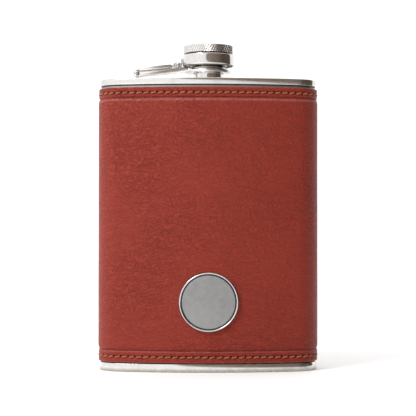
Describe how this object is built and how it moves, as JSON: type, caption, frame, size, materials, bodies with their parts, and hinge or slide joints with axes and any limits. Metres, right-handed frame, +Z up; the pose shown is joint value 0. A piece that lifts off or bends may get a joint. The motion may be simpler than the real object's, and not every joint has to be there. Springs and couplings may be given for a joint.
{
  "type": "hip flask",
  "caption": "Leather-covered steel hip flask with a bowed body, a round blank medallion and a knurled screw cap held by a hinged arm.",
  "frame": {"origin": "under the middle of the flask's outer box, on the surface it stands on", "axes": "+Z up through the neck, -Y out of the convex front that carries the medallion, +X to the right seen from the front"},
  "size_m": [0.096, 0.0304, 0.1407],
  "materials": {
    "polished_steel": "polished stainless steel",
    "satin_steel": "satin stainless steel",
    "brushed_disc": "matt brushed",
    "leather": "smooth red-brown, fine grain",
    "thread": "twisted tan thread",
    "foam": "soft foam",
    "glue_pad": "adhesive foam",
    "seal_rubber": "food-grade rubber"
  },
  "bodies": {
    "flask": {"body_shell": "satin_steel", "top_plate": "polished_steel", "base_plate": "polished_steel", "neck": "polished_steel", "wrap_padding": "foam", "leather_wrap": "leather", "top_stitching": "thread", "bottom_stitching": "thread", "medallion_bezel": "polished_steel", "medallion_disc": "brushed_disc", "medallion_pad": "glue_pad"},
    "seal": {"cap_seal": "seal_rubber"},
    "cap": {"cap_head": "polished_steel", "cap_insert": "satin_steel"},
    "band": {"cap_band": "polished_steel", "band_ear": "polished_steel"},
    "lower_arm": {"lower_arm": "polished_steel", "far_hinge_pin": "satin_steel"},
    "upper_arm": {"upper_arm": "polished_steel", "near_hinge_pin": "satin_steel"}
  },
  "joints": [
    {"name": "cap_lift", "type": "slide", "parent": "flask", "child": "seal", "axis": [0, 0, 1], "range_m": [0, 0.004]},
    {"name": "cap_turn", "type": "hinge", "parent": "seal", "child": "cap", "pos_m": [0, -0.00164, 0.1385], "axis": [0, 0, 1], "range_deg": [0, 900]},
    {"name": "band_swivel", "type": "hinge", "parent": "seal", "child": "band", "pos_m": [0, -0.00164, 0.134], "axis": [0, 0, 1], "continuous": true},
    {"name": "arm_swivel", "type": "hinge", "parent": "flask", "child": "lower_arm", "pos_m": [0, -0.00164, 0.1294], "axis": [0, 0, 1], "continuous": true},
    {"name": "arm_fold", "type": "hinge", "parent": "lower_arm", "child": "upper_arm", "pos_m": [-0.031, -0.00164, 0.1286], "axis": [0, -1, 0], "range_deg": [0, 13.2]}
  ],
  "couplings": [
    {"joint": "cap_turn", "follows": "cap_lift", "rad_per_m": 3927},
    {"joint": "arm_fold", "follows": "cap_lift", "rad_per_m": 57.447},
    {"joint": "band_swivel", "follows": "arm_swivel", "ratio": 1}
  ]
}
